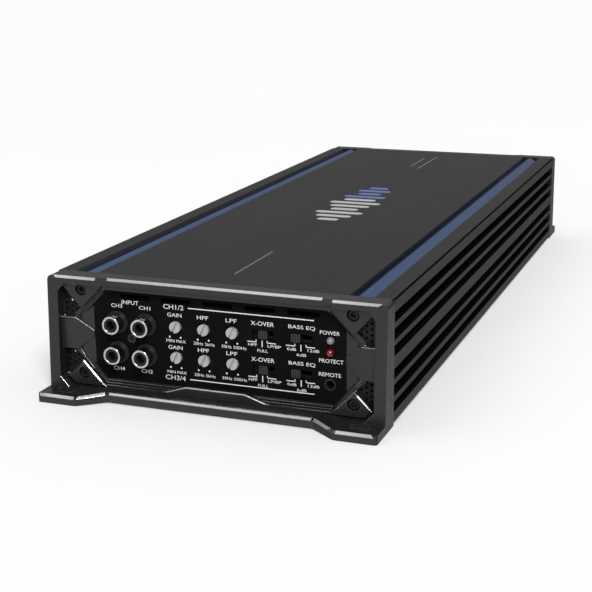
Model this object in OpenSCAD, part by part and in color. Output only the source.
// Four-channel car amplifier: finned case, cast end caps with feet, controls in front, terminals behind.
// Frame: origin on the floor under the centre, +Y along the case away from the controls, +Z up.

/* [Case] */
// Width over the end caps
body_width = 160; // [160:1:170]
// Height from the feet to the top of the end caps
body_height = 56; // [56:1:57]
// Distance between the front faces of the two end caps
body_length = 402; // [396:1:480]
// How far the case stands above the floor
floor_gap = 1.5; // [1.2:0.1:1.6]
// Clearance of the case inside the outline of the end caps
case_inset = 0.1; // [0.1:0.1:0.8]
// Radius of the long top corners of the case
case_corner_r = 0.8; // [0.4:0.2:5]

/* [Heatsink] */
// Depth of the gaps between the side fins
fin_gap_depth = 8; // [5:0.5:8.5]
// Half width of the space inside the case
cavity_half = 66; // [65:0.5:66.5]
// Height of the ceiling inside the case
cavity_top = 49; // [47:0.5:49.5]
// Distance from the middle to the inner edge of each top groove
groove_inner = 60; // [59:0.1:61]
// Width of each top groove
groove_width = 11; // [10:0.5:12]
// Depth of each top groove
groove_depth = 3.4; // [2.5:0.1:3.6]
// Thickness of the bottom plate
plate_t = 1.5; // [1:0.1:1.5]

/* [End caps] */
// Depth of each end cap along the case
cap_depth = 10; // [10:0.5:12]
// How far the mounting feet reach out
foot_reach = 14; // [13:0.5:16]
// Thickness of the feet and of the lip between them
lip_t = 4.1; // [3.5:0.1:4.3]
// Radius of the outer corners of the feet
foot_corner_r = 1.5; // [1:0.5:4]
// Half width of a slotted mounting hole
mount_hole_r = 2.75; // [2:0.25:3]
// Length of a slotted mounting hole
mount_slot_length = 11; // [8:0.5:12]
// Radius of the round-headed seat of a cap screw
cap_screw_seat_r = 2.8; // [2.6:0.1:3.1]

/* [Controls] */
// Radius of a line input shell
rca_shell_r = 4.15; // [4.1:0.01:4.2]
// Distance between line inputs
rca_pitch = 14.2; // [14:0.1:14.5]
// Radius of a trimmer shaft
trimmer_r = 2.6; // [2.2:0.1:2.8]
// Distance between trimmers in a row
trimmer_pitch = 13.65; // [13:0.05:14]
// Length of a slide switch window
switch_window_w = 10; // [9.5:0.1:11]
// Height of a slide switch window
switch_window_h = 4.2; // [4:0.1:4.6]
// Width of a slide switch knob
switch_knob_w = 4; // [3.5:0.1:4.2]
// Radius of an indicator lamp
led_r = 1.7; // [1.5:0.1:1.8]

/* [Terminals] */
// Distance between the large power terminals and the small one beside them
power_pitch = 12.5; // [12:0.1:13]
// Radius of the wire hole in a large power terminal
power_wire_r = 3.2; // [2.5:0.1:3.5]
// Distance between speaker terminals
speaker_pitch = 6.1; // [6:0.1:6.2]
// Radius of the wire hole in a speaker terminal
speaker_wire_r = 1.5; // [1:0.1:1.6]

/* [Hidden] */
$fn = 48;

// Small overlap that keeps cuts clean
eps = 0.05;
half_w = body_width / 2;
half_l = body_length / 2;
case_half_w = half_w - case_inset;
case_top = body_height - case_inset;
case_half_l = half_l - cap_depth;

// Fin gaps: three above and three below a wide middle rib, mirrored about fin_mid_z
fin_mid_z = 28.1;
fin_gap_offsets = [2.8, 9.9, 17.6];
fin_gap_heights = [4.6, 5.1, 4.5];

// Cap screws sit in the bosses and run into channels of the heatsink
cap_screw_upper = [64.3, 49.7];
cap_screw_lower = [64.6, 10.2];
cap_screw_spots = [cap_screw_upper, cap_screw_lower];
cap_screw_r = 1.5;
cap_screw_len = 16;
cap_screw_head_h = 2.4;
cap_screw_head_r = 2.2;
cap_screw_sink = 1;
channel_r = 3.6;

// Depths below the front face of an end cap, growing into the case
top_setback = 1.8;
boss_depth = 2.1;
face_depth = 3;
strip_depth = 4.5;
panel_depth = 6;
panel_t = 1.5;
panel_back = panel_depth + panel_t;
board_depth = 13.5;
board_t = 1.6;

// How far the foot of the cap's front face stands ahead of its top
cap_lean = 2.4;

// The lip between the feet is set back and raised
lip_mid_half = 49;
lip_mid_reach = 5.8;
lip_mid_z = 1.1;
foot_inner = 60.8;
mount_x = 70;
mount_reach = 6.5;

// Inner outline of the end cap's rim
rim_inner = 74.8;
rim_top_z = 52.6;
rim_bottom_z = 4;
window_top_x = 71.5;
window_side_z = 48.8;

// Controls, measured from the middle of the panel and from the floor
upper_row_z = 35.3;
lower_row_z = 21.1;
rca_x = [-48.1, -48.1 + rca_pitch];
rca_z = [upper_row_z, upper_row_z - rca_pitch];
rca_mid_x = (rca_x[0] + rca_x[1]) / 2;
rca_mid_z = (rca_z[0] + rca_z[1]) / 2;
rca_reach = 1.5;
rca_root_r = 3.9;
trimmer_x0 = -19.7;
trimmer_proud = 0.8;
trimmer_core_r = 1.5;
trimmer_hole_r = 3.3;
trimmer_gap = 0.3;
running_gap = 0.05;
switch_x = [22.2, 40.1];
switch_z = [36, 20];
switch_detent = 2.8;
led_x = 53.1;
power_led_z = 36.4;
protect_led_z = 31.2;
jack_z = 16.9;
jack_bore_r = 1.8;
air_slot_z = 47.1;
air_slot_x0 = 0.8;
air_slot_pitch = 20.1;
air_slot_w = 14.6;
air_slot_h = 2.2;

// Inside the case
board_z = 14.2;
board_top = board_z + board_t;
board_half_w = 65;
standoff_x = 56;
standoff_y = [-165, 0, 165];
transformer_y = -55;
choke_y = 118;
wall_part_x = cavity_half - 0.4;
supply_y = [-20, -4, 12, 28];
output_y = [60, 82, 104, 126];

// Terminals behind the rear end cap, in the rear cap's own frame
power_x = [-44, -31.5, -19];
fuse_x = [-6.5, 3.5];
speaker_x0 = 12.5;
terminal_z = board_top + 8;
terminal_reach = 6;

// Frames -----------------------------------------------------------------------------------------

// Places a child made at the front end cap: y = 0 on its front face, +y into the case
module at_front() {
    translate([0, -half_l, 0]) children();
}

// Places a child made for the rear end cap, turned half round
module at_rear() {
    rotate([0, 0, 180]) at_front() children();
}

// Extrudes a front view, drawn in X and Z, from depth y0 to depth y1
module along_y(y0, y1) {
    translate([0, y1, 0]) rotate([90, 0, 0]) linear_extrude(height = y1 - y0) children();
}

module both_sides() {
    children();
    mirror([1, 0, 0]) children();
}

// A cylinder along Y from depth y0 to depth y1
module rod_y(r, y0, y1) {
    translate([0, y1, 0]) rotate([90, 0, 0]) cylinder(r = r, h = y1 - y0);
}

module box_between(low, high) {
    translate(low) cube(high - low);
}

// The right half of a symmetric outline, listed from one end to the other, with its mirror image added
function mirrored(right) = concat(right, [for (i = [len(right) - 1:-1:0]) [-right[i][0], right[i][1]]]);

// What is left outside the arc of a rounded top right corner at the origin
module corner_cut(r) {
    difference() {
        translate([-r, -r]) square(2 * r);
        translate([-r, -r]) circle(r = r);
        translate([-2 * r, -2 * r]) square([3 * r, r]);
        translate([-2 * r, -2 * r]) square([r, 3 * r]);
    }
}

// Outline of a slot with round ends
module round_slot(w, h) {
    translate([-(w - h) / 2, -h / 2]) square([w - h, h]);
    for (s = [-1, 1]) translate([s * (w - h) / 2, 0]) circle(r = h / 2);
}

// Case -------------------------------------------------------------------------------------------

// Front view of the case with rounded top corners
module case_outline() {
    difference() {
        translate([-case_half_w, floor_gap]) square([2 * case_half_w, case_top - floor_gap]);
        both_sides() translate([case_half_w, case_top]) corner_cut(case_corner_r);
    }
}

// Front view of the three fin gaps above or below the middle rib, on the +X side
module fin_gaps() {
    for (i = [0:2]) {
        translate([case_half_w - fin_gap_depth, fin_gap_offsets[i]])
            square([fin_gap_depth + 1, fin_gap_heights[i]]);
    }
}

// Front view of the whole heatsink extrusion
module heatsink_profile() {
    difference() {
        case_outline();
        both_sides() {
            translate([0, fin_mid_z]) fin_gaps();
            translate([0, fin_mid_z]) mirror([0, 1]) fin_gaps();
            translate([groove_inner, case_top - groove_depth]) square([groove_width, groove_depth + 1]);
        }
        difference() {
            translate([-cavity_half, floor_gap - 1]) square([2 * cavity_half, cavity_top - floor_gap + 1]);
            both_sides() for (p = cap_screw_spots) translate(p) circle(r = channel_r);
            both_sides() translate([cap_screw_upper[0] - channel_r, cap_screw_upper[1]])
                square([2 * channel_r, channel_r]);
        }
        both_sides() for (p = cap_screw_spots) translate(p) circle(r = cap_screw_r);
        // rebate that takes the bottom plate
        translate([-bottom_half_w - 0.2, floor_gap - 1]) square([2 * bottom_half_w + 0.4, plate_t + 1]);
    }
}

bottom_half_w = 74;
plate_screw_x = 69;
plate_screw_r = 1.25;
plate_screw_y = [-180, -90, 0, 90, 180];
plate_screw_len = 7;

module plate_screw_places() {
    both_sides() for (y = plate_screw_y) translate([plate_screw_x, y, 0]) children();
}

module heatsink_body() {
    color([0.24, 0.24, 0.25]) difference() {
        along_y(-case_half_l, case_half_l) heatsink_profile();
        plate_screw_places()
            translate([0, 0, floor_gap]) cylinder(r = plate_screw_r, h = plate_screw_len);
        both_sides() clamp_shanks(4);
    }
}

// Front view of the roof-shaped strip, with its ridge nearer the middle of the case
module strip_profile() {
    w = groove_width - 0.2;
    h = groove_depth;
    translate([groove_inner + 0.1, case_top - groove_depth]) polygon([
        [0, 0], [w, 0], [w, h - 2.1], [4.9, h], [4.3, h], [0, h - 1.7]
    ]);
}

module accent_strip() {
    front_gap = 0.2;
    rear_gap = 3;
    along_y(-case_half_l + front_gap, case_half_l - rear_gap) strip_profile();
}

module accent_strip_left() {
    color([0.2, 0.3, 0.5]) mirror([1, 0, 0]) accent_strip();
}

module accent_strip_right() {
    color([0.2, 0.3, 0.5]) accent_strip();
}

module bottom_plate() {
    color([0.2, 0.2, 0.2]) difference() {
        box_between([-bottom_half_w, -case_half_l, floor_gap], [bottom_half_w, case_half_l, floor_gap + plate_t]);
        plate_screw_places() translate([0, 0, floor_gap - 1]) cylinder(r = plate_screw_r, h = plate_t + 2);
        both_sides() for (y = standoff_y) translate([standoff_x, y, floor_gap - 1])
            cylinder(r = standoff_screw_r, h = plate_t + 2);
    }
}

module plate_screw() {
    head_h = 1.2;
    translate([0, 0, floor_gap - head_h]) difference() {
        union() {
            cylinder(r = 2.5, h = head_h);
            cylinder(r = plate_screw_r, h = head_h + plate_screw_len - 0.5);
        }
        for (a = [0, 90]) rotate([0, 0, a]) translate([-1.3, -0.3, -eps]) cube([2.6, 0.6, 0.6 + eps]);
    }
}

module bottom_plate_screws() {
    color([0.3, 0.3, 0.3]) plate_screw_places() plate_screw();
}

// End caps ---------------------------------------------------------------------------------------

// Front view of the end cap's outer shape, down to the floor
module cap_outline() {
    difference() {
        translate([-half_w, 0]) square([body_width, body_height]);
        both_sides() translate([half_w, body_height]) corner_cut(2.5);
        polygon(mirrored([[0, -1], [foot_inner, -1], [foot_inner, 0], [lip_mid_half, lip_mid_z]]));
    }
}

// Front view of the space inside the rim; its lower corners are cut by gussets
module rim_hole() {
    polygon(mirrored([
        [window_top_x, rim_top_z], [rim_inner, window_side_z], [rim_inner, 9], [70.3, rim_bottom_z]
    ]));
}

// Front view of the eight-sided opening that shows the panel
module panel_opening() {
    polygon(mirrored([[54.5, 8], [60, 14.2], [60, 41.8], [52.5, 49.2]]));
}

// Front view of the mouth of the opening, where its upper and lower bevels start
module panel_mouth() {
    polygon(mirrored([[53.8, 5.2], [54.3, 6], [54.3, 49], [52.6, 50.4]]));
}

// Front view of where the bevels at the sides of the opening start, deeper in
module side_mouth() {
    polygon(mirrored([[54.2, 6.6], [63.9, 17.9], [65.7, 20.9], [65.7, 36.9], [53.2, 49.6]]));
}

// Front view of the groove outside the side bevels
module side_groove() {
    difference() {
        polygon([[54.6, 5], [64.8, 17.4], [66.9, 20.7], [66.9, 37.3], [54.6, 49.8]]);
        side_mouth();
    }
}

// The bevelled recess in front of the panel
module panel_recess() {
    hull() {
        along_y(face_depth - 0.01, face_depth) panel_mouth();
        along_y(strip_depth - 0.01, strip_depth) side_mouth();
        along_y(panel_depth - 0.01, panel_depth) panel_opening();
    }
    along_y(-1, face_depth) panel_mouth();
    both_sides() {
        box_between([54.1, face_depth - 1, rim_bottom_z - 1], [rim_inner + 1, strip_depth, rim_top_z + 1]);
        along_y(face_depth, strip_depth + 0.7) side_groove();
    }
    along_y(panel_depth - eps, panel_depth + 1) panel_opening();
}

// Front view of the upper boss, a triangle that points down; the upper window trims its outer side
module upper_boss() {
    polygon([[54.3, rim_top_z], [54.3, 51.35], [64.3, 41.55], [66.6, 41.9], [74.4, 50.8], [73, rim_top_z]]);
}

// Front view of the lower boss, a triangle with a cut foot
module lower_boss() {
    polygon([[53.8, 4.85], [69.2, 4.85], [73.4, 8.67], [66.6, 16.9], [64.5, 16.2]]);
}

// Front view of the upper and lower windows, which hold the perforated plates
module upper_window() {
    polygon([
        [65.9, 40.9], [66, 42.4], [73.2, 50.6], [rim_inner, window_side_z], [74.4, 36.4], [69.4, 36.4], [69.4, 37.6]
    ]);
}

module lower_window() {
    polygon([
        [65.9, 16.8], [65.3, 15.9], [72.9, 8.3], [rim_inner, 9], [rim_inner, 21.4], [69.4, 21.4], [69.4, 20.1]
    ]);
}

// Front view of the arrow plate that points at the panel
module arrow_plate() {
    polygon([
        [rim_inner + eps, 36.3], [67.9, 36.3], [60.2, 30], [60.2, 26.7], [67.9, 21.5], [rim_inner + eps, 21.5]
    ]);
}

// The arrow plate is flat by the rim, and its head slopes back to the edge of the panel
module sloped_arrow() {
    intersection() {
        along_y(0, panel_depth) arrow_plate();
        translate([0, 0, 15]) linear_extrude(height = 30)
            polygon([
                [rim_inner + eps, 2.2], [rim_inner + eps, panel_depth], [60, panel_depth], [60, 5.5], [67.9, 2.5]
            ]);
    }
}

// Front view of the lip and feet: the middle is raised, with ramps down to the feet
module lip_front_view() {
    polygon(mirrored([
        [lip_mid_half, lip_mid_z], [foot_inner, 0], [half_w, 0], [half_w, lip_t], [foot_inner, lip_t],
        [lip_mid_half, lip_mid_z + lip_t]
    ]));
}

// The point a given distance along the way from a to b
function towards(a, b, distance) = a + distance * (b - a) / norm(b - a);

// Plan of the lip and feet, with rounded outer corners and a small facet at each bend
module lip_plan() {
    facet = 0.9;
    bend = [lip_mid_half, -lip_mid_reach];
    foot = [foot_inner, -foot_reach];
    difference() {
        polygon(mirrored([
            [lip_mid_half - facet, -lip_mid_reach], towards(bend, foot, facet), towards(foot, bend, facet),
            [foot_inner + facet, -foot_reach], [half_w, -foot_reach], [half_w, cap_depth]
        ]));
        both_sides() translate([half_w, -foot_reach]) mirror([0, 1]) corner_cut(foot_corner_r);
    }
}

module lip_and_feet() {
    intersection() {
        along_y(-foot_reach - 1, cap_depth) lip_front_view();
        linear_extrude(height = 10) lip_plan();
    }
}

// Plan of the cut that sets the middle of the cap back behind its corners
module setback_plan() {
    polygon(mirrored([[56.5, -1], [55.7, 0], [50.7, top_setback]]));
}

// Ribs along the lower bevel of the recess, cut short beside the middle plate
module lower_ribs() {
    rib_count = 3;
    both_sides() for (i = [0:rib_count - 1]) {
        z = 5.4 + 0.95 * i;
        y = face_depth + 0.9 * i;
        box_between([26 - 3 * i, y - 0.35, z - 0.3], [54.4 - 0.1 * i, y + 1.1, z + 0.35]);
    }
}

// The bright-edged plate in the middle of the lower bevel
module middle_plate() {
    along_y(face_depth, panel_depth) polygon([[-26.1, 4.9], [26.1, 4.9], [14.3, 8.75], [-14.3, 8.75]]);
}

// The cap's outer body; its front face leans forward towards the floor
module leaning_body() {
    intersection() {
        along_y(-cap_lean, cap_depth) cap_outline();
        rotate([90, 0, 90]) linear_extrude(height = body_width + 2, center = true)
            polygon([[-cap_lean, 0], [0, body_height], [cap_depth + 1, body_height], [cap_depth + 1, 0]]);
    }
}

module end_cap() {
    difference() {
        union() {
            difference() {
                leaning_body();
                along_y(-cap_lean - 1, cap_depth + 1) rim_hole();
                translate([0, 0, lip_mid_z + lip_t]) linear_extrude(height = body_height) setback_plan();
            }
            difference() {
                along_y(face_depth, panel_depth) rim_hole();
                panel_recess();
            }
            both_sides() {
                along_y(boss_depth, panel_depth) upper_boss();
                along_y(boss_depth, panel_depth) lower_boss();
                for (p = cap_screw_spots) translate([p[0], 0, p[1]])
                    rod_y(3.2, panel_depth - eps, cap_depth);
                sloped_arrow();
            }
            middle_plate();
            lower_ribs();
            lip_and_feet();
        }
        both_sides() {
            along_y(face_depth - 1, panel_depth + 1) upper_window();
            along_y(face_depth - 1, panel_depth + 1) lower_window();
            for (p = cap_screw_spots) translate([p[0], 0, p[1]]) {
                rod_y(cap_screw_seat_r, -1, boss_depth + cap_screw_sink + cap_screw_head_h);
                rod_y(cap_screw_r + 0.1, 0, cap_depth + 1);
            }
            translate([mount_x, -mount_reach, -1]) linear_extrude(height = lip_t + 2)
                round_slot(mount_slot_length, 2 * mount_hole_r);
        }
    }
}

module front_end_cap() {
    color([0.22, 0.22, 0.23]) at_front() end_cap();
}

module rear_end_cap() {
    color([0.22, 0.22, 0.23]) at_rear() end_cap();
}

// Socket screw along Y with its head towards the outside
module cap_screw() {
    head_y = boss_depth + cap_screw_sink;
    difference() {
        union() {
            rod_y(cap_screw_head_r, head_y, head_y + cap_screw_head_h);
            rod_y(cap_screw_r, head_y + cap_screw_head_h - eps, head_y + cap_screw_head_h + cap_screw_len);
        }
        translate([0, head_y + 1.5, 0]) rotate([90, 0, 0]) cylinder(r = 1.4, h = 2, $fn = 6);
    }
}

module cap_screw_set() {
    color([0.12, 0.12, 0.12]) both_sides() for (p = cap_screw_spots) translate([p[0], 0, p[1]]) cap_screw();
}

module cap_screws() {
    at_front() cap_screw_set();
    at_rear() cap_screw_set();
}

// Perforated plate behind one window: upper ones lie in the top corner, lower ones in the bottom corner
module grille_outline(upper) {
    if (upper) {
        polygon([[68.2, 52.3], [71, 52.3], [74.6, 48.6], [74.6, 34.8], [62.9, 34.8], [62.9, 44], [68.2, 47]]);
    } else {
        polygon([[68.6, 5.2], [74.6, 9], [74.6, 23], [62.9, 23], [62.9, 15.5], [68.6, 12.6]]);
    }
}

module grille_plate(upper) {
    pitch = 2.6;
    hole_r = 0.6;
    z_mid = upper ? 43.2 : 16.2;
    y0 = panel_depth;
    difference() {
        along_y(y0, y0 + 1) grille_outline(upper);
        for (column = [0:3], row = [-2:2]) {
            z = z_mid + row * pitch + (column % 2) * pitch / 2;
            x = 66.9 + column * pitch * 0.87;
            if ((upper && z < 49.5 && x - z / 1.3 > 29) || (!upper && z > 9 && x + z / 1.3 > 77.6)) {
                translate([x, 0, z]) rod_y(hole_r, y0 - 1, y0 + 2);
            }
        }
    }
}

module grille_set() {
    color([0.06, 0.06, 0.06]) both_sides() {
        grille_plate(true);
        grille_plate(false);
    }
}

module window_grilles() {
    at_front() grille_set();
    at_rear() grille_set();
}

// Panels -----------------------------------------------------------------------------------------

module panel_outline() {
    polygon(mirrored([[55.8, 6.2], [62.5, 13], [62.5, 44], [55.5, 51]]));
}

module air_slots() {
    for (i = [-2:2]) translate([air_slot_x0 + i * air_slot_pitch, air_slot_z]) round_slot(air_slot_w, air_slot_h);
}

module front_control_panel() {
    color([0.08, 0.08, 0.08]) at_front() difference() {
        along_y(panel_depth, panel_back) panel_outline();
        along_y(panel_depth - 1, panel_back + 1) air_slots();
        for (x = rca_x, z = rca_z) translate([x, 0, z]) rod_y(rca_flange_r, panel_depth - 1, panel_back + 1);
        translate([rca_mid_x, 0, rca_mid_z]) rod_y(rca_screw_r, panel_depth - 1, panel_back + 1);
        for (i = [0:2], z = [upper_row_z, lower_row_z])
            translate([trimmer_x0 + i * trimmer_pitch, 0, z]) rod_y(trimmer_hole_r, panel_depth - 1, panel_back + 1);
        for (x = switch_x, z = switch_z)
            box_between([x - switch_window_w / 2, panel_depth - 1, z - switch_window_h / 2],
                [x + switch_window_w / 2, panel_back + 1, z + switch_window_h / 2]);
        for (z = [power_led_z, protect_led_z]) translate([led_x, 0, z]) rod_y(led_r + 0.1, panel_depth - 1, panel_back + 1);
        translate([led_x, 0, jack_z]) rod_y(jack_nose_r, panel_depth - 1, panel_back + 1);
    }
}

module rear_terminal_panel() {
    color([0.08, 0.08, 0.08]) at_rear() difference() {
        along_y(panel_depth, panel_back) panel_outline();
        along_y(panel_depth - 1, panel_back + 1) air_slots();
        box_between([power_x[0] - power_pitch / 2, panel_depth - 1, board_top],
            [power_x[2] + power_pitch / 2, panel_back + 1, board_top + terminal_h]);
        box_between([fuse_holder_low[0], panel_depth - 1, fuse_holder_low[2]],
            [fuse_holder_high[0], panel_back + 1, fuse_holder_high[2]]);
        box_between([speaker_x0 - speaker_pitch / 2 - 0.6, panel_depth - 1, board_top],
            [speaker_x0 + 7.5 * speaker_pitch + 0.6, panel_back + 1, board_top + terminal_h]);
    }
}

// Line inputs ------------------------------------------------------------------------------------

rca_flange_r = 5.2;
rca_bore_r = 3.25;
rca_pin_r = 1.65;
rca_contact_r = 2.05;
rca_contact_front = 3.5;
rca_insulator_front = 0.4 - rca_reach;
rca_screw_r = 1.3;
rca_flange_front = 5;
rca_depth = board_depth;

module rca_places() {
    for (x = rca_x, z = rca_z) translate([x, 0, z]) children();
}

module rca_block_housing() {
    margin = 8;
    color([0.07, 0.07, 0.07]) at_front() difference() {
        union() {
            box_between([rca_x[0] - margin, panel_back, rca_z[1] - margin],
                [rca_x[1] + margin, board_depth, rca_z[0] + margin]);
            rca_places() rod_y(rca_flange_r, rca_flange_front, panel_back + eps);
        }
        rca_places() rod_y(rca_root_r, rca_flange_front - 1, 12);
        translate([rca_mid_x, 0, rca_mid_z]) rod_y(rca_screw_r, panel_back - 1, board_depth + 1);
    }
}

module rca_shells() {
    color([0.75, 0.74, 0.72]) at_front() rca_places() difference() {
        union() {
            rod_y(rca_shell_r, -rca_reach, rca_flange_front);
            rod_y(rca_root_r, rca_flange_front - eps, 12);
        }
        rod_y(rca_bore_r, -rca_reach - 1, 12 + 1);
    }
}

module rca_insulators() {
    color([0.05, 0.05, 0.05]) at_front() rca_places() difference() {
        rod_y(rca_bore_r, rca_insulator_front, 12);
        rod_y(rca_contact_r, rca_insulator_front - 1, 13);
    }
}

module rca_center_contacts() {
    color([0.75, 0.6, 0.3]) at_front() rca_places() difference() {
        rod_y(rca_contact_r, rca_contact_front, 12);
        rod_y(rca_pin_r, rca_contact_front - 1, 10.5);
    }
}

module rca_fixing_screw() {
    color([0.1, 0.1, 0.1]) at_front() translate([rca_mid_x, 0, rca_mid_z]) difference() {
        union() {
            rod_y(2.2, panel_depth - 1, panel_depth);
            rod_y(rca_screw_r, panel_depth - eps, board_depth);
        }
        for (a = [0, 90]) rotate([0, a, 0]) box_between([-1.2, panel_depth - 2, -0.3], [1.2, panel_depth - 0.4, 0.3]);
    }
}

// Trimmers ---------------------------------------------------------------------------------------

trimmer_body_front = panel_back + 0.5;

module trimmer_places() {
    for (i = [0:2], z = [upper_row_z, lower_row_z]) translate([trimmer_x0 + i * trimmer_pitch, 0, z]) children();
}

module trimmer_bodies() {
    half = 4.9;
    color([0.07, 0.07, 0.07]) at_front() trimmer_places() difference() {
        box_between([-half, trimmer_body_front, -half - 0.6], [half, board_depth, half]);
        rod_y(trimmer_core_r + running_gap, trimmer_body_front - 1, board_depth - 1);
    }
}

// Slotted shaft with a pointer nib; the slot leans to one o'clock
module trimmer_shaft(column, z) {
    front = panel_depth - trimmer_proud;
    lean = 28;
    color([0.66, 0.65, 0.64]) at_front() translate([trimmer_x0 + column * trimmer_pitch, 0, z]) {
        difference() {
            union() {
                rod_y(trimmer_r, front, trimmer_body_front - trimmer_gap);
                rotate([0, lean, 0]) along_y(front + 0.2, front + 1.4)
                    polygon([[0.8, 1.5], [0.8, 2.9], [1.3, 2.7], [1.8, 1.5]]);
            }
            rotate([0, lean, 0]) box_between([-0.45, front - 1, -4], [0.45, front + 0.9, 4]);
        }
        rod_y(trimmer_core_r, trimmer_body_front - trimmer_gap - eps, board_depth - 1.3);
    }
}

module gain_shaft_ch12() { trimmer_shaft(0, upper_row_z); }
module hpf_shaft_ch12() { trimmer_shaft(1, upper_row_z); }
module lpf_shaft_ch12() { trimmer_shaft(2, upper_row_z); }
module gain_shaft_ch34() { trimmer_shaft(0, lower_row_z); }
module hpf_shaft_ch34() { trimmer_shaft(1, lower_row_z); }
module lpf_shaft_ch34() { trimmer_shaft(2, lower_row_z); }

// Slide switches ---------------------------------------------------------------------------------

switch_body_front = panel_back + 1;
switch_stem = 1.8;
slide_gap = 0.25;
knob_front = panel_depth - 0.4;

module switch_bodies() {
    stem_room = 2 * (switch_detent + slide_gap) + switch_stem;
    color([0.05, 0.05, 0.05]) at_front() for (x = switch_x, z = switch_z) translate([x, 0, z]) difference() {
        box_between([-7, switch_body_front, -3.7], [7, board_depth, 3.7]);
        box_between([-stem_room / 2, switch_body_front - 1, -switch_stem / 2 - slide_gap],
            [stem_room / 2, board_depth - 1, switch_stem / 2 + slide_gap]);
    }
}

// Ribbed knob with a stem that reaches into the switch
module switch_knob(x, z) {
    h = switch_window_h - 0.4;
    w = switch_knob_w;
    color([0.09, 0.09, 0.09]) at_front() translate([x, 0, z]) {
        difference() {
            box_between([-w / 2, knob_front, -h / 2], [w / 2, switch_body_front - slide_gap, h / 2]);
            for (i = [-1:1]) box_between([i * 1.1 - 0.25, knob_front - 1, -h], [i * 1.1 + 0.25, knob_front + 0.45, h]);
        }
        box_between([-switch_stem / 2, switch_body_front - slide_gap - eps, -switch_stem / 2],
            [switch_stem / 2, board_depth - 1.3, switch_stem / 2]);
    }
}

module crossover_knob_ch12() { switch_knob(switch_x[0], switch_z[0]); }
module bass_knob_ch12() { switch_knob(switch_x[1] - switch_detent, switch_z[0]); }
module crossover_knob_ch34() { switch_knob(switch_x[0], switch_z[1]); }
module bass_knob_ch34() { switch_knob(switch_x[1] - switch_detent, switch_z[1]); }

// Indicator lamps and remote socket --------------------------------------------------------------

jack_nose_r = 2.8;

// Lamp with a collar behind the panel and two legs; dome is how far the round nose stands proud
module lamp(dome) {
    rod_y(led_r, panel_depth - dome, panel_back + eps);
    translate([0, panel_depth - dome, 0]) intersection() {
        sphere(r = led_r);
        rod_y(led_r, -led_r, eps);
    }
    rod_y(led_r + 0.35, panel_back, panel_back + 1.2);
    for (s = [-1, 1]) box_between([s * 0.8 - 0.2, panel_back + 1.2 - eps, -0.2], [s * 0.8 + 0.2, board_depth, 0.2]);
}

module power_led() {
    color([0.6, 0.6, 0.6]) at_front() translate([led_x, 0, power_led_z]) lamp(0.1);
}

module protect_led() {
    color([0.45, 0.02, 0.05]) at_front() translate([led_x, 0, protect_led_z]) lamp(0.6);
}

module remote_jack() {
    half = 4.2;
    color([0.05, 0.05, 0.05]) at_front() translate([led_x, 0, jack_z]) difference() {
        union() {
            rod_y(jack_nose_r, panel_depth - 0.6, panel_back + eps);
            box_between([-half, panel_back, -half], [half, board_depth, half]);
        }
        rod_y(jack_bore_r, panel_depth - 2, board_depth - 1);
    }
}

// Boards -----------------------------------------------------------------------------------------

standoff_screw_r = 1.5;
control_board_top = 44.5;
main_board_front = -half_l + 17.5;
main_board_rear = half_l - panel_back - 0.2;

module control_board() {
    color([0.05, 0.3, 0.12]) at_front()
        box_between([-59, board_depth, 8], [59, board_depth + board_t, control_board_top]);
}

module board_link_header() {
    color([0.06, 0.06, 0.06]) at_front()
        box_between([-25, board_depth + board_t, board_top], [25, board_depth + board_t + 8, board_top + 6]);
}

module main_board() {
    color([0.05, 0.3, 0.12]) difference() {
        box_between([-board_half_w, main_board_front, board_z], [board_half_w, main_board_rear, board_top]);
        both_sides() for (y = standoff_y) translate([standoff_x, y, board_z - 1])
            cylinder(r = standoff_screw_r, h = board_t + 2);
        translate([0, transformer_y, board_z - 1]) cylinder(r = transformer_bolt_r, h = board_t + 2);
    }
}

module board_standoffs() {
    color([0.7, 0.6, 0.3]) both_sides() for (y = standoff_y) translate([standoff_x, y, floor_gap + plate_t])
        difference() {
            cylinder(r = 3, h = board_z - floor_gap - plate_t);
            translate([0, 0, -1]) cylinder(r = standoff_screw_r, h = board_z);
        }
}

// A screw along Z whose thin head starts at z = 0; the heads below the case stay above the floor
module board_screw() {
    length = 5;
    difference() {
        union() {
            cylinder(r = 2.8, h = 1.1);
            translate([0, 0, -length]) cylinder(r = standoff_screw_r, h = length + eps);
        }
        for (a = [0, 90]) rotate([0, 0, a]) translate([-1.4, -0.3, 0.6]) cube([2.8, 0.6, 1]);
    }
}

// One screw above and one below each standoff
module board_screws() {
    color([0.65, 0.65, 0.65]) both_sides() for (y = standoff_y) translate([standoff_x, y, 0]) {
        translate([0, 0, board_top]) board_screw();
        translate([0, 0, floor_gap]) mirror([0, 0, 1]) board_screw();
    }
}

// Power supply -----------------------------------------------------------------------------------

transformer_bolt_r = 2;
transformer_base = board_top;

// A ring with a rectangular section
module ring(r_in, r_out, h) {
    difference() {
        cylinder(r = r_out, h = h);
        translate([0, 0, -1]) cylinder(r = r_in, h = h + 2);
    }
}

// A winding that wraps a ring core all round
module winding(r_in, r_out, h, wire) {
    difference() {
        ring(r_in - wire, r_out + wire, h + 2 * wire);
        translate([0, 0, wire]) ring(r_in, r_out, h);
    }
}

module transformer_core() {
    color([0.2, 0.2, 0.22]) translate([0, transformer_y, transformer_base + 2.5]) ring(14, 24, 18);
}

module transformer_winding() {
    color([0.6, 0.3, 0.12]) translate([0, transformer_y, transformer_base]) winding(14, 24, 18, 2.5);
}

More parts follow.
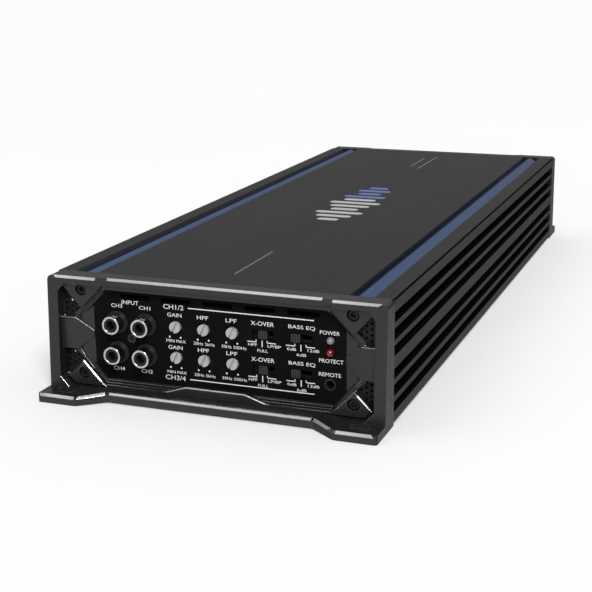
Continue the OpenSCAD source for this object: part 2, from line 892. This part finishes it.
module transformer_bolt() {
    top = transformer_base + 23;
    color([0.7, 0.7, 0.7]) translate([0, transformer_y, 0]) {
        translate([0, 0, board_z - 3]) cylinder(r = transformer_bolt_r, h = top - board_z + 3);
        translate([0, 0, top]) cylinder(r = 15, h = 2);
        translate([0, 0, top + 2 - eps]) cylinder(r = 3.6, h = 3, $fn = 6);
        translate([0, 0, board_z - 3]) cylinder(r = 3.6, h = 3, $fn = 6);
    }
}

module choke_core() {
    color([0.85, 0.75, 0.2]) translate([-26, choke_y, board_top + 2]) ring(7, 13, 10);
}

module choke_winding() {
    color([0.6, 0.3, 0.12]) translate([-26, choke_y, board_top]) winding(7, 13, 10, 2);
}

module capacitor(r, h) {
    difference() {
        cylinder(r = r, h = h);
        for (a = [0, 60, 120]) rotate([0, 0, a]) translate([-r * 0.7, -0.3, h - 0.4]) cube([r * 1.4, 0.6, 1]);
    }
}

module input_capacitors() {
    color([0.1, 0.12, 0.3]) for (x = [2, 24], y = [118, 142])
        translate([x, y, board_top]) capacitor(8, 28);
}

module rail_capacitors() {
    color([0.1, 0.12, 0.3]) for (x = [-30, -10, 10, 30], y = [10, 34])
        translate([x, y, board_top]) capacitor(8, 30);
}

// A power transistor standing against the case wall on the +X side, with three legs into the board
module wall_transistor(w, h, t) {
    low = board_top + 5;
    box_between([wall_part_x - t, -w / 2, low], [wall_part_x, w / 2, low + h]);
    for (i = [-1:1]) box_between([wall_part_x - t / 2 - 0.3, i * w / 3.6 - 0.5, board_top],
        [wall_part_x - t / 2 + 0.3, i * w / 3.6 + 0.5, low + eps]);
}

module supply_transistors() {
    color([0.08, 0.08, 0.08]) both_sides() for (y = supply_y) translate([0, y, 0]) wall_transistor(10, 15, 4.4);
}

module output_transistors() {
    color([0.08, 0.08, 0.08]) both_sides() for (y = output_y) translate([0, y, 0]) wall_transistor(15.8, 20, 4.8);
}

pad_low = board_top + 4;
clamp_t = 2;
clamp_screw_r = 1.5;
supply_clamp_z = pad_low + 9;
output_clamp_z = pad_low + 11.5;
supply_face = wall_part_x - 4.4;
output_face = wall_part_x - 4.8;

// A rod along X from x0 to x1
module rod_x(r, x0, x1) {
    translate([x0, 0, 0]) rotate([0, 90, 0]) cylinder(r = r, h = x1 - x0);
}

// Puts its child between the first two and the last two transistors of a row
module between_pairs(row, z) {
    for (i = [0, 2]) translate([0, (row[i] + row[i + 1]) / 2, z]) children();
}

// The holes or shanks of all clamp screws on the +X side, from the bars into the case wall
module clamp_shanks(depth) {
    between_pairs(supply_y, supply_clamp_z) rod_x(clamp_screw_r, supply_face - clamp_t - eps, cavity_half + depth);
    between_pairs(output_y, output_clamp_z) rod_x(clamp_screw_r, output_face - clamp_t - eps, cavity_half + depth);
}

module insulator_pads() {
    color([0.8, 0.8, 0.82]) both_sides() difference() {
        union() {
            box_between([wall_part_x, supply_y[0] - 7, pad_low], [cavity_half, supply_y[3] + 7, pad_low + 18]);
            box_between([wall_part_x, output_y[0] - 10, pad_low], [cavity_half, output_y[3] + 10, pad_low + 23]);
        }
        clamp_shanks(1);
    }
}

// Bars that press the transistors to the wall
module clamp_bars() {
    color([0.6, 0.6, 0.62]) both_sides() difference() {
        union() {
            box_between([supply_face - clamp_t, supply_y[0] - 7, supply_clamp_z - 3],
                [supply_face, supply_y[3] + 7, supply_clamp_z + 3]);
            box_between([output_face - clamp_t, output_y[0] - 10, output_clamp_z - 3.5],
                [output_face, output_y[3] + 10, output_clamp_z + 3.5]);
        }
        clamp_shanks(1);
    }
}

module clamp_head() {
    head_h = 1.6;
    difference() {
        rod_x(2.7, -head_h, 0);
        for (a = [0, 90]) rotate([a, 0, 0]) box_between([-head_h - 1, -1.3, -0.3], [-head_h + 0.8, 1.3, 0.3]);
    }
}

module clamp_screws() {
    color([0.35, 0.35, 0.36]) both_sides() {
        clamp_shanks(3.5);
        between_pairs(supply_y, supply_clamp_z) translate([supply_face - clamp_t, 0, 0]) clamp_head();
        between_pairs(output_y, output_clamp_z) translate([output_face - clamp_t, 0, 0]) clamp_head();
    }
}

module emitter_resistors() {
    color([0.85, 0.84, 0.8]) both_sides() for (y = output_y) translate([48, y, board_top])
        box_between([-4.5, -7, 0], [4.5, 7, 6]);
}

module signal_chips() {
    color([0.06, 0.06, 0.06]) {
        for (x = [-36, -12, 12, 36]) box_between([x - 4, -150, board_top], [x + 4, -140, board_top + 3.5]);
        for (x = [-20, 20]) box_between([x - 4, -122, board_top], [x + 4, -102, board_top + 3.5]);
        at_front() for (x = [-13, 7, 27]) box_between([x - 5, board_depth + board_t, 33],
            [x + 5, board_depth + board_t + 1.8, 37]);
    }
}

// Terminals --------------------------------------------------------------------------------------

terminal_h = 16;
terminal_deep = 20;
power_block_w = 10.5;
speaker_block_w = 4.7;
metal_h = 11;
metal_base = board_top + 2.4;
power_screw_r = 2.2;
speaker_screw_r = 1.4;

// Housing with one pocket per terminal, open at the front face and at the top over each screw
module terminal_housing(low_x, high_x, places, pocket_w, screw_r) {
    difference() {
        box_between([low_x, -terminal_reach, board_top], [high_x, terminal_deep, board_top + terminal_h]);
        for (x = places) {
            box_between([x - pocket_w / 2, -terminal_reach + 1.5, metal_base],
                [x + pocket_w / 2, terminal_deep - 1.5, metal_base + metal_h]);
            translate([x, -terminal_reach - 1, terminal_z])
                rotate([-90, 0, 0]) cylinder(r = pocket_w / 2 - 0.6, h = 4);
            translate([x, -terminal_reach + 5, board_top + 10]) cylinder(r = screw_r + 0.3, h = terminal_h);
        }
    }
}

// A plated metal block with a wire hole towards the outside and a screw hole from the top
module terminal_metal(x, w, wire_r, screw_r) {
    difference() {
        box_between([x - w / 2, -terminal_reach + 1.5, metal_base],
            [x + w / 2, terminal_deep - 1.5, metal_base + metal_h]);
        translate([x, -terminal_reach - 1, terminal_z]) rotate([-90, 0, 0]) cylinder(r = wire_r, h = 18);
        translate([x, -terminal_reach + 5, terminal_z]) cylinder(r = screw_r, h = terminal_h);
    }
}

speaker_places = [for (i = [0:7]) speaker_x0 + i * speaker_pitch];

module power_terminal_block() {
    color([0.07, 0.07, 0.07]) at_rear() terminal_housing(power_x[0] - power_pitch / 2,
        power_x[2] + power_pitch / 2, power_x, power_block_w, power_screw_r);
}

module speaker_terminal_block() {
    color([0.07, 0.07, 0.07]) at_rear() terminal_housing(speaker_x0 - speaker_pitch / 2 - 0.6,
        speaker_x0 + 7.5 * speaker_pitch + 0.6, speaker_places, speaker_block_w, speaker_screw_r);
}

module power_terminals() {
    color([0.8, 0.75, 0.6]) at_rear() for (i = [0:2])
        terminal_metal(power_x[i], power_block_w, i == 1 ? power_wire_r / 2 : power_wire_r, power_screw_r);
}

module speaker_terminals() {
    color([0.8, 0.75, 0.6]) at_rear() for (x = speaker_places)
        terminal_metal(x, speaker_block_w, speaker_wire_r, speaker_screw_r);
}

// Hexagon socket grub screw, raised clear of the wire hole
module grub_screw(r, wire_r) {
    low = terminal_z + wire_r;
    high = metal_base + metal_h + 1;
    translate([0, -terminal_reach + 5, 0]) difference() {
        translate([0, 0, low]) cylinder(r = r, h = high - low);
        translate([0, 0, high - 1.5]) cylinder(r = r * 0.6, h = 2, $fn = 6);
    }
}

module terminal_screws() {
    color([0.35, 0.35, 0.36]) at_rear() {
        for (i = [0:2]) translate([power_x[i], 0, 0]) grub_screw(power_screw_r, power_wire_r);
        for (x = speaker_places) translate([x, 0, 0]) grub_screw(speaker_screw_r, speaker_wire_r + 0.4);
    }
}

// Fuses ------------------------------------------------------------------------------------------

fuse_z = 30;
fuse_half_w = 2.6;
fuse_half_h = 9.6;
fuse_seat = 4;
blade_half_t = 0.35;
clip_room = 0.45;
fuse_holder_low = [fuse_x[0] - 5, 2, board_top];
fuse_holder_high = [fuse_x[1] + 5, 28, fuse_z + fuse_half_h + 1.6];

module fuse_holder() {
    color([0.07, 0.07, 0.07]) at_rear() difference() {
        box_between(fuse_holder_low, fuse_holder_high);
        for (x = fuse_x) {
            box_between([x - fuse_half_w - 0.3, 1, fuse_z - fuse_half_h - 0.3],
                [x + fuse_half_w + 0.3, fuse_seat + 3.5, fuse_z + fuse_half_h + 0.3]);
            for (s = [-1, 1]) box_between([x - blade_half_t - clip_room, fuse_seat, fuse_z + s * 6.8 - 2.9],
                [x + blade_half_t + clip_room, 22, fuse_z + s * 6.8 + 2.9]);
        }
    }
}

// A pair of spring leaves on each side of every fuse blade
module fuse_clips() {
    leaf_t = 0.3;
    color([0.75, 0.72, 0.6]) at_rear() for (x = fuse_x, s = [-1, 1], side = [-1, 1])
        translate([x + side * (blade_half_t + clip_room - leaf_t / 2), 0, fuse_z + s * 6.8])
            box_between([-leaf_t / 2, fuse_seat + 4, -2.5], [leaf_t / 2, 21, 2.5]);
}

// A blade fuse: a coloured body with a grip edge and two flat blades
module fuse(x) {
    at_rear() translate([x, 0, fuse_z]) {
        color([0.2, 0.55, 0.2]) {
            box_between([-fuse_half_w, -4.5, -fuse_half_h], [fuse_half_w, -2, fuse_half_h]);
            box_between([-fuse_half_w + 0.7, -2 - eps, -fuse_half_h + 1], [fuse_half_w - 0.7, fuse_seat + 3.2, fuse_half_h - 1]);
        }
        color([0.75, 0.75, 0.75]) for (s = [-1, 1])
            box_between([-blade_half_t, fuse_seat + 3.2 - eps, s * 6.8 - 2.6], [blade_half_t, 18, s * 6.8 + 2.6]);
    }
}

module fuse_a() { fuse(fuse_x[0]); }
module fuse_b() { fuse(fuse_x[1]); }

// Assembly ---------------------------------------------------------------------------------------

heatsink_body();
accent_strip_left();
accent_strip_right();
bottom_plate();
bottom_plate_screws();
front_end_cap();
rear_end_cap();
cap_screws();
window_grilles();
front_control_panel();
rear_terminal_panel();
rca_block_housing();
rca_shells();
rca_insulators();
rca_center_contacts();
rca_fixing_screw();
trimmer_bodies();
gain_shaft_ch12();
hpf_shaft_ch12();
lpf_shaft_ch12();
gain_shaft_ch34();
hpf_shaft_ch34();
lpf_shaft_ch34();
switch_bodies();
crossover_knob_ch12();
bass_knob_ch12();
crossover_knob_ch34();
bass_knob_ch34();
power_led();
protect_led();
remote_jack();
control_board();
board_link_header();
main_board();
board_standoffs();
board_screws();
transformer_core();
transformer_winding();
transformer_bolt();
choke_core();
choke_winding();
input_capacitors();
rail_capacitors();
supply_transistors();
output_transistors();
insulator_pads();
clamp_bars();
clamp_screws();
emitter_resistors();
signal_chips();
power_terminal_block();
power_terminals();
speaker_terminal_block();
speaker_terminals();
terminal_screws();
fuse_holder();
fuse_clips();
fuse_a();
fuse_b();
